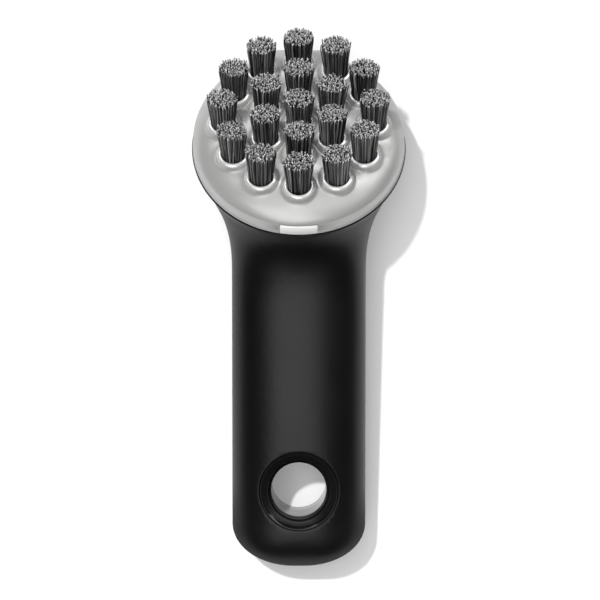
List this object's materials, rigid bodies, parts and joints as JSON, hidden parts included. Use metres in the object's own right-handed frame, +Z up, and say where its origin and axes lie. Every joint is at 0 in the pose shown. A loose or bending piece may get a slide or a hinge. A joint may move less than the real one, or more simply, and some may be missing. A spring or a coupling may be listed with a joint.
{
  "type": "scrubbing brush",
  "caption": "Round scrubbing head with stiff nylon tufts, tilted forward on a soft oval handle with a hanging hole, for cleaning cast iron pans.",
  "frame": {"origin": "centre of the overall box, on the plane the brush lies on", "axes": "+Y along the handle towards the head, +Z up from the table on the bristle side, +X to the right when the head points away"},
  "size_m": [0.0706, 0.1788, 0.0595],
  "materials": {
    "soft_black_grip": "soft matt",
    "hard_black_core": "gloss",
    "light_grey_plate": "satin gloss",
    "white_tab": "satin gloss",
    "nylon_bristles": "satin strands, lighter at the cut tips",
    "zinc_wire": "drawn wire"
  },
  "bodies": {
    "root": {"grip": "soft_black_grip", "handle_core": "hard_black_core", "bristle_plate": "light_grey_plate", "rim_tab": "white_tab", "tuft_01": "nylon_bristles", "tuft_02": "nylon_bristles", "tuft_03": "nylon_bristles", "tuft_04": "nylon_bristles", "tuft_05": "nylon_bristles", "tuft_06": "nylon_bristles", "tuft_07": "nylon_bristles", "tuft_08": "nylon_bristles", "tuft_09": "nylon_bristles", "tuft_10": "nylon_bristles", "tuft_11": "nylon_bristles", "tuft_12": "nylon_bristles", "tuft_13": "nylon_bristles", "tuft_14": "nylon_bristles", "tuft_15": "nylon_bristles", "tuft_16": "nylon_bristles", "tuft_17": "nylon_bristles", "tuft_18": "nylon_bristles", "tuft_19": "nylon_bristles", "anchor_01": "zinc_wire", "anchor_02": "zinc_wire", "anchor_03": "zinc_wire", "anchor_04": "zinc_wire", "anchor_05": "zinc_wire", "anchor_06": "zinc_wire", "anchor_07": "zinc_wire", "anchor_08": "zinc_wire", "anchor_09": "zinc_wire", "anchor_10": "zinc_wire", "anchor_11": "zinc_wire", "anchor_12": "zinc_wire", "anchor_13": "zinc_wire", "anchor_14": "zinc_wire", "anchor_15": "zinc_wire", "anchor_16": "zinc_wire", "anchor_17": "zinc_wire", "anchor_18": "zinc_wire", "anchor_19": "zinc_wire"}
  },
  "joints": []
}
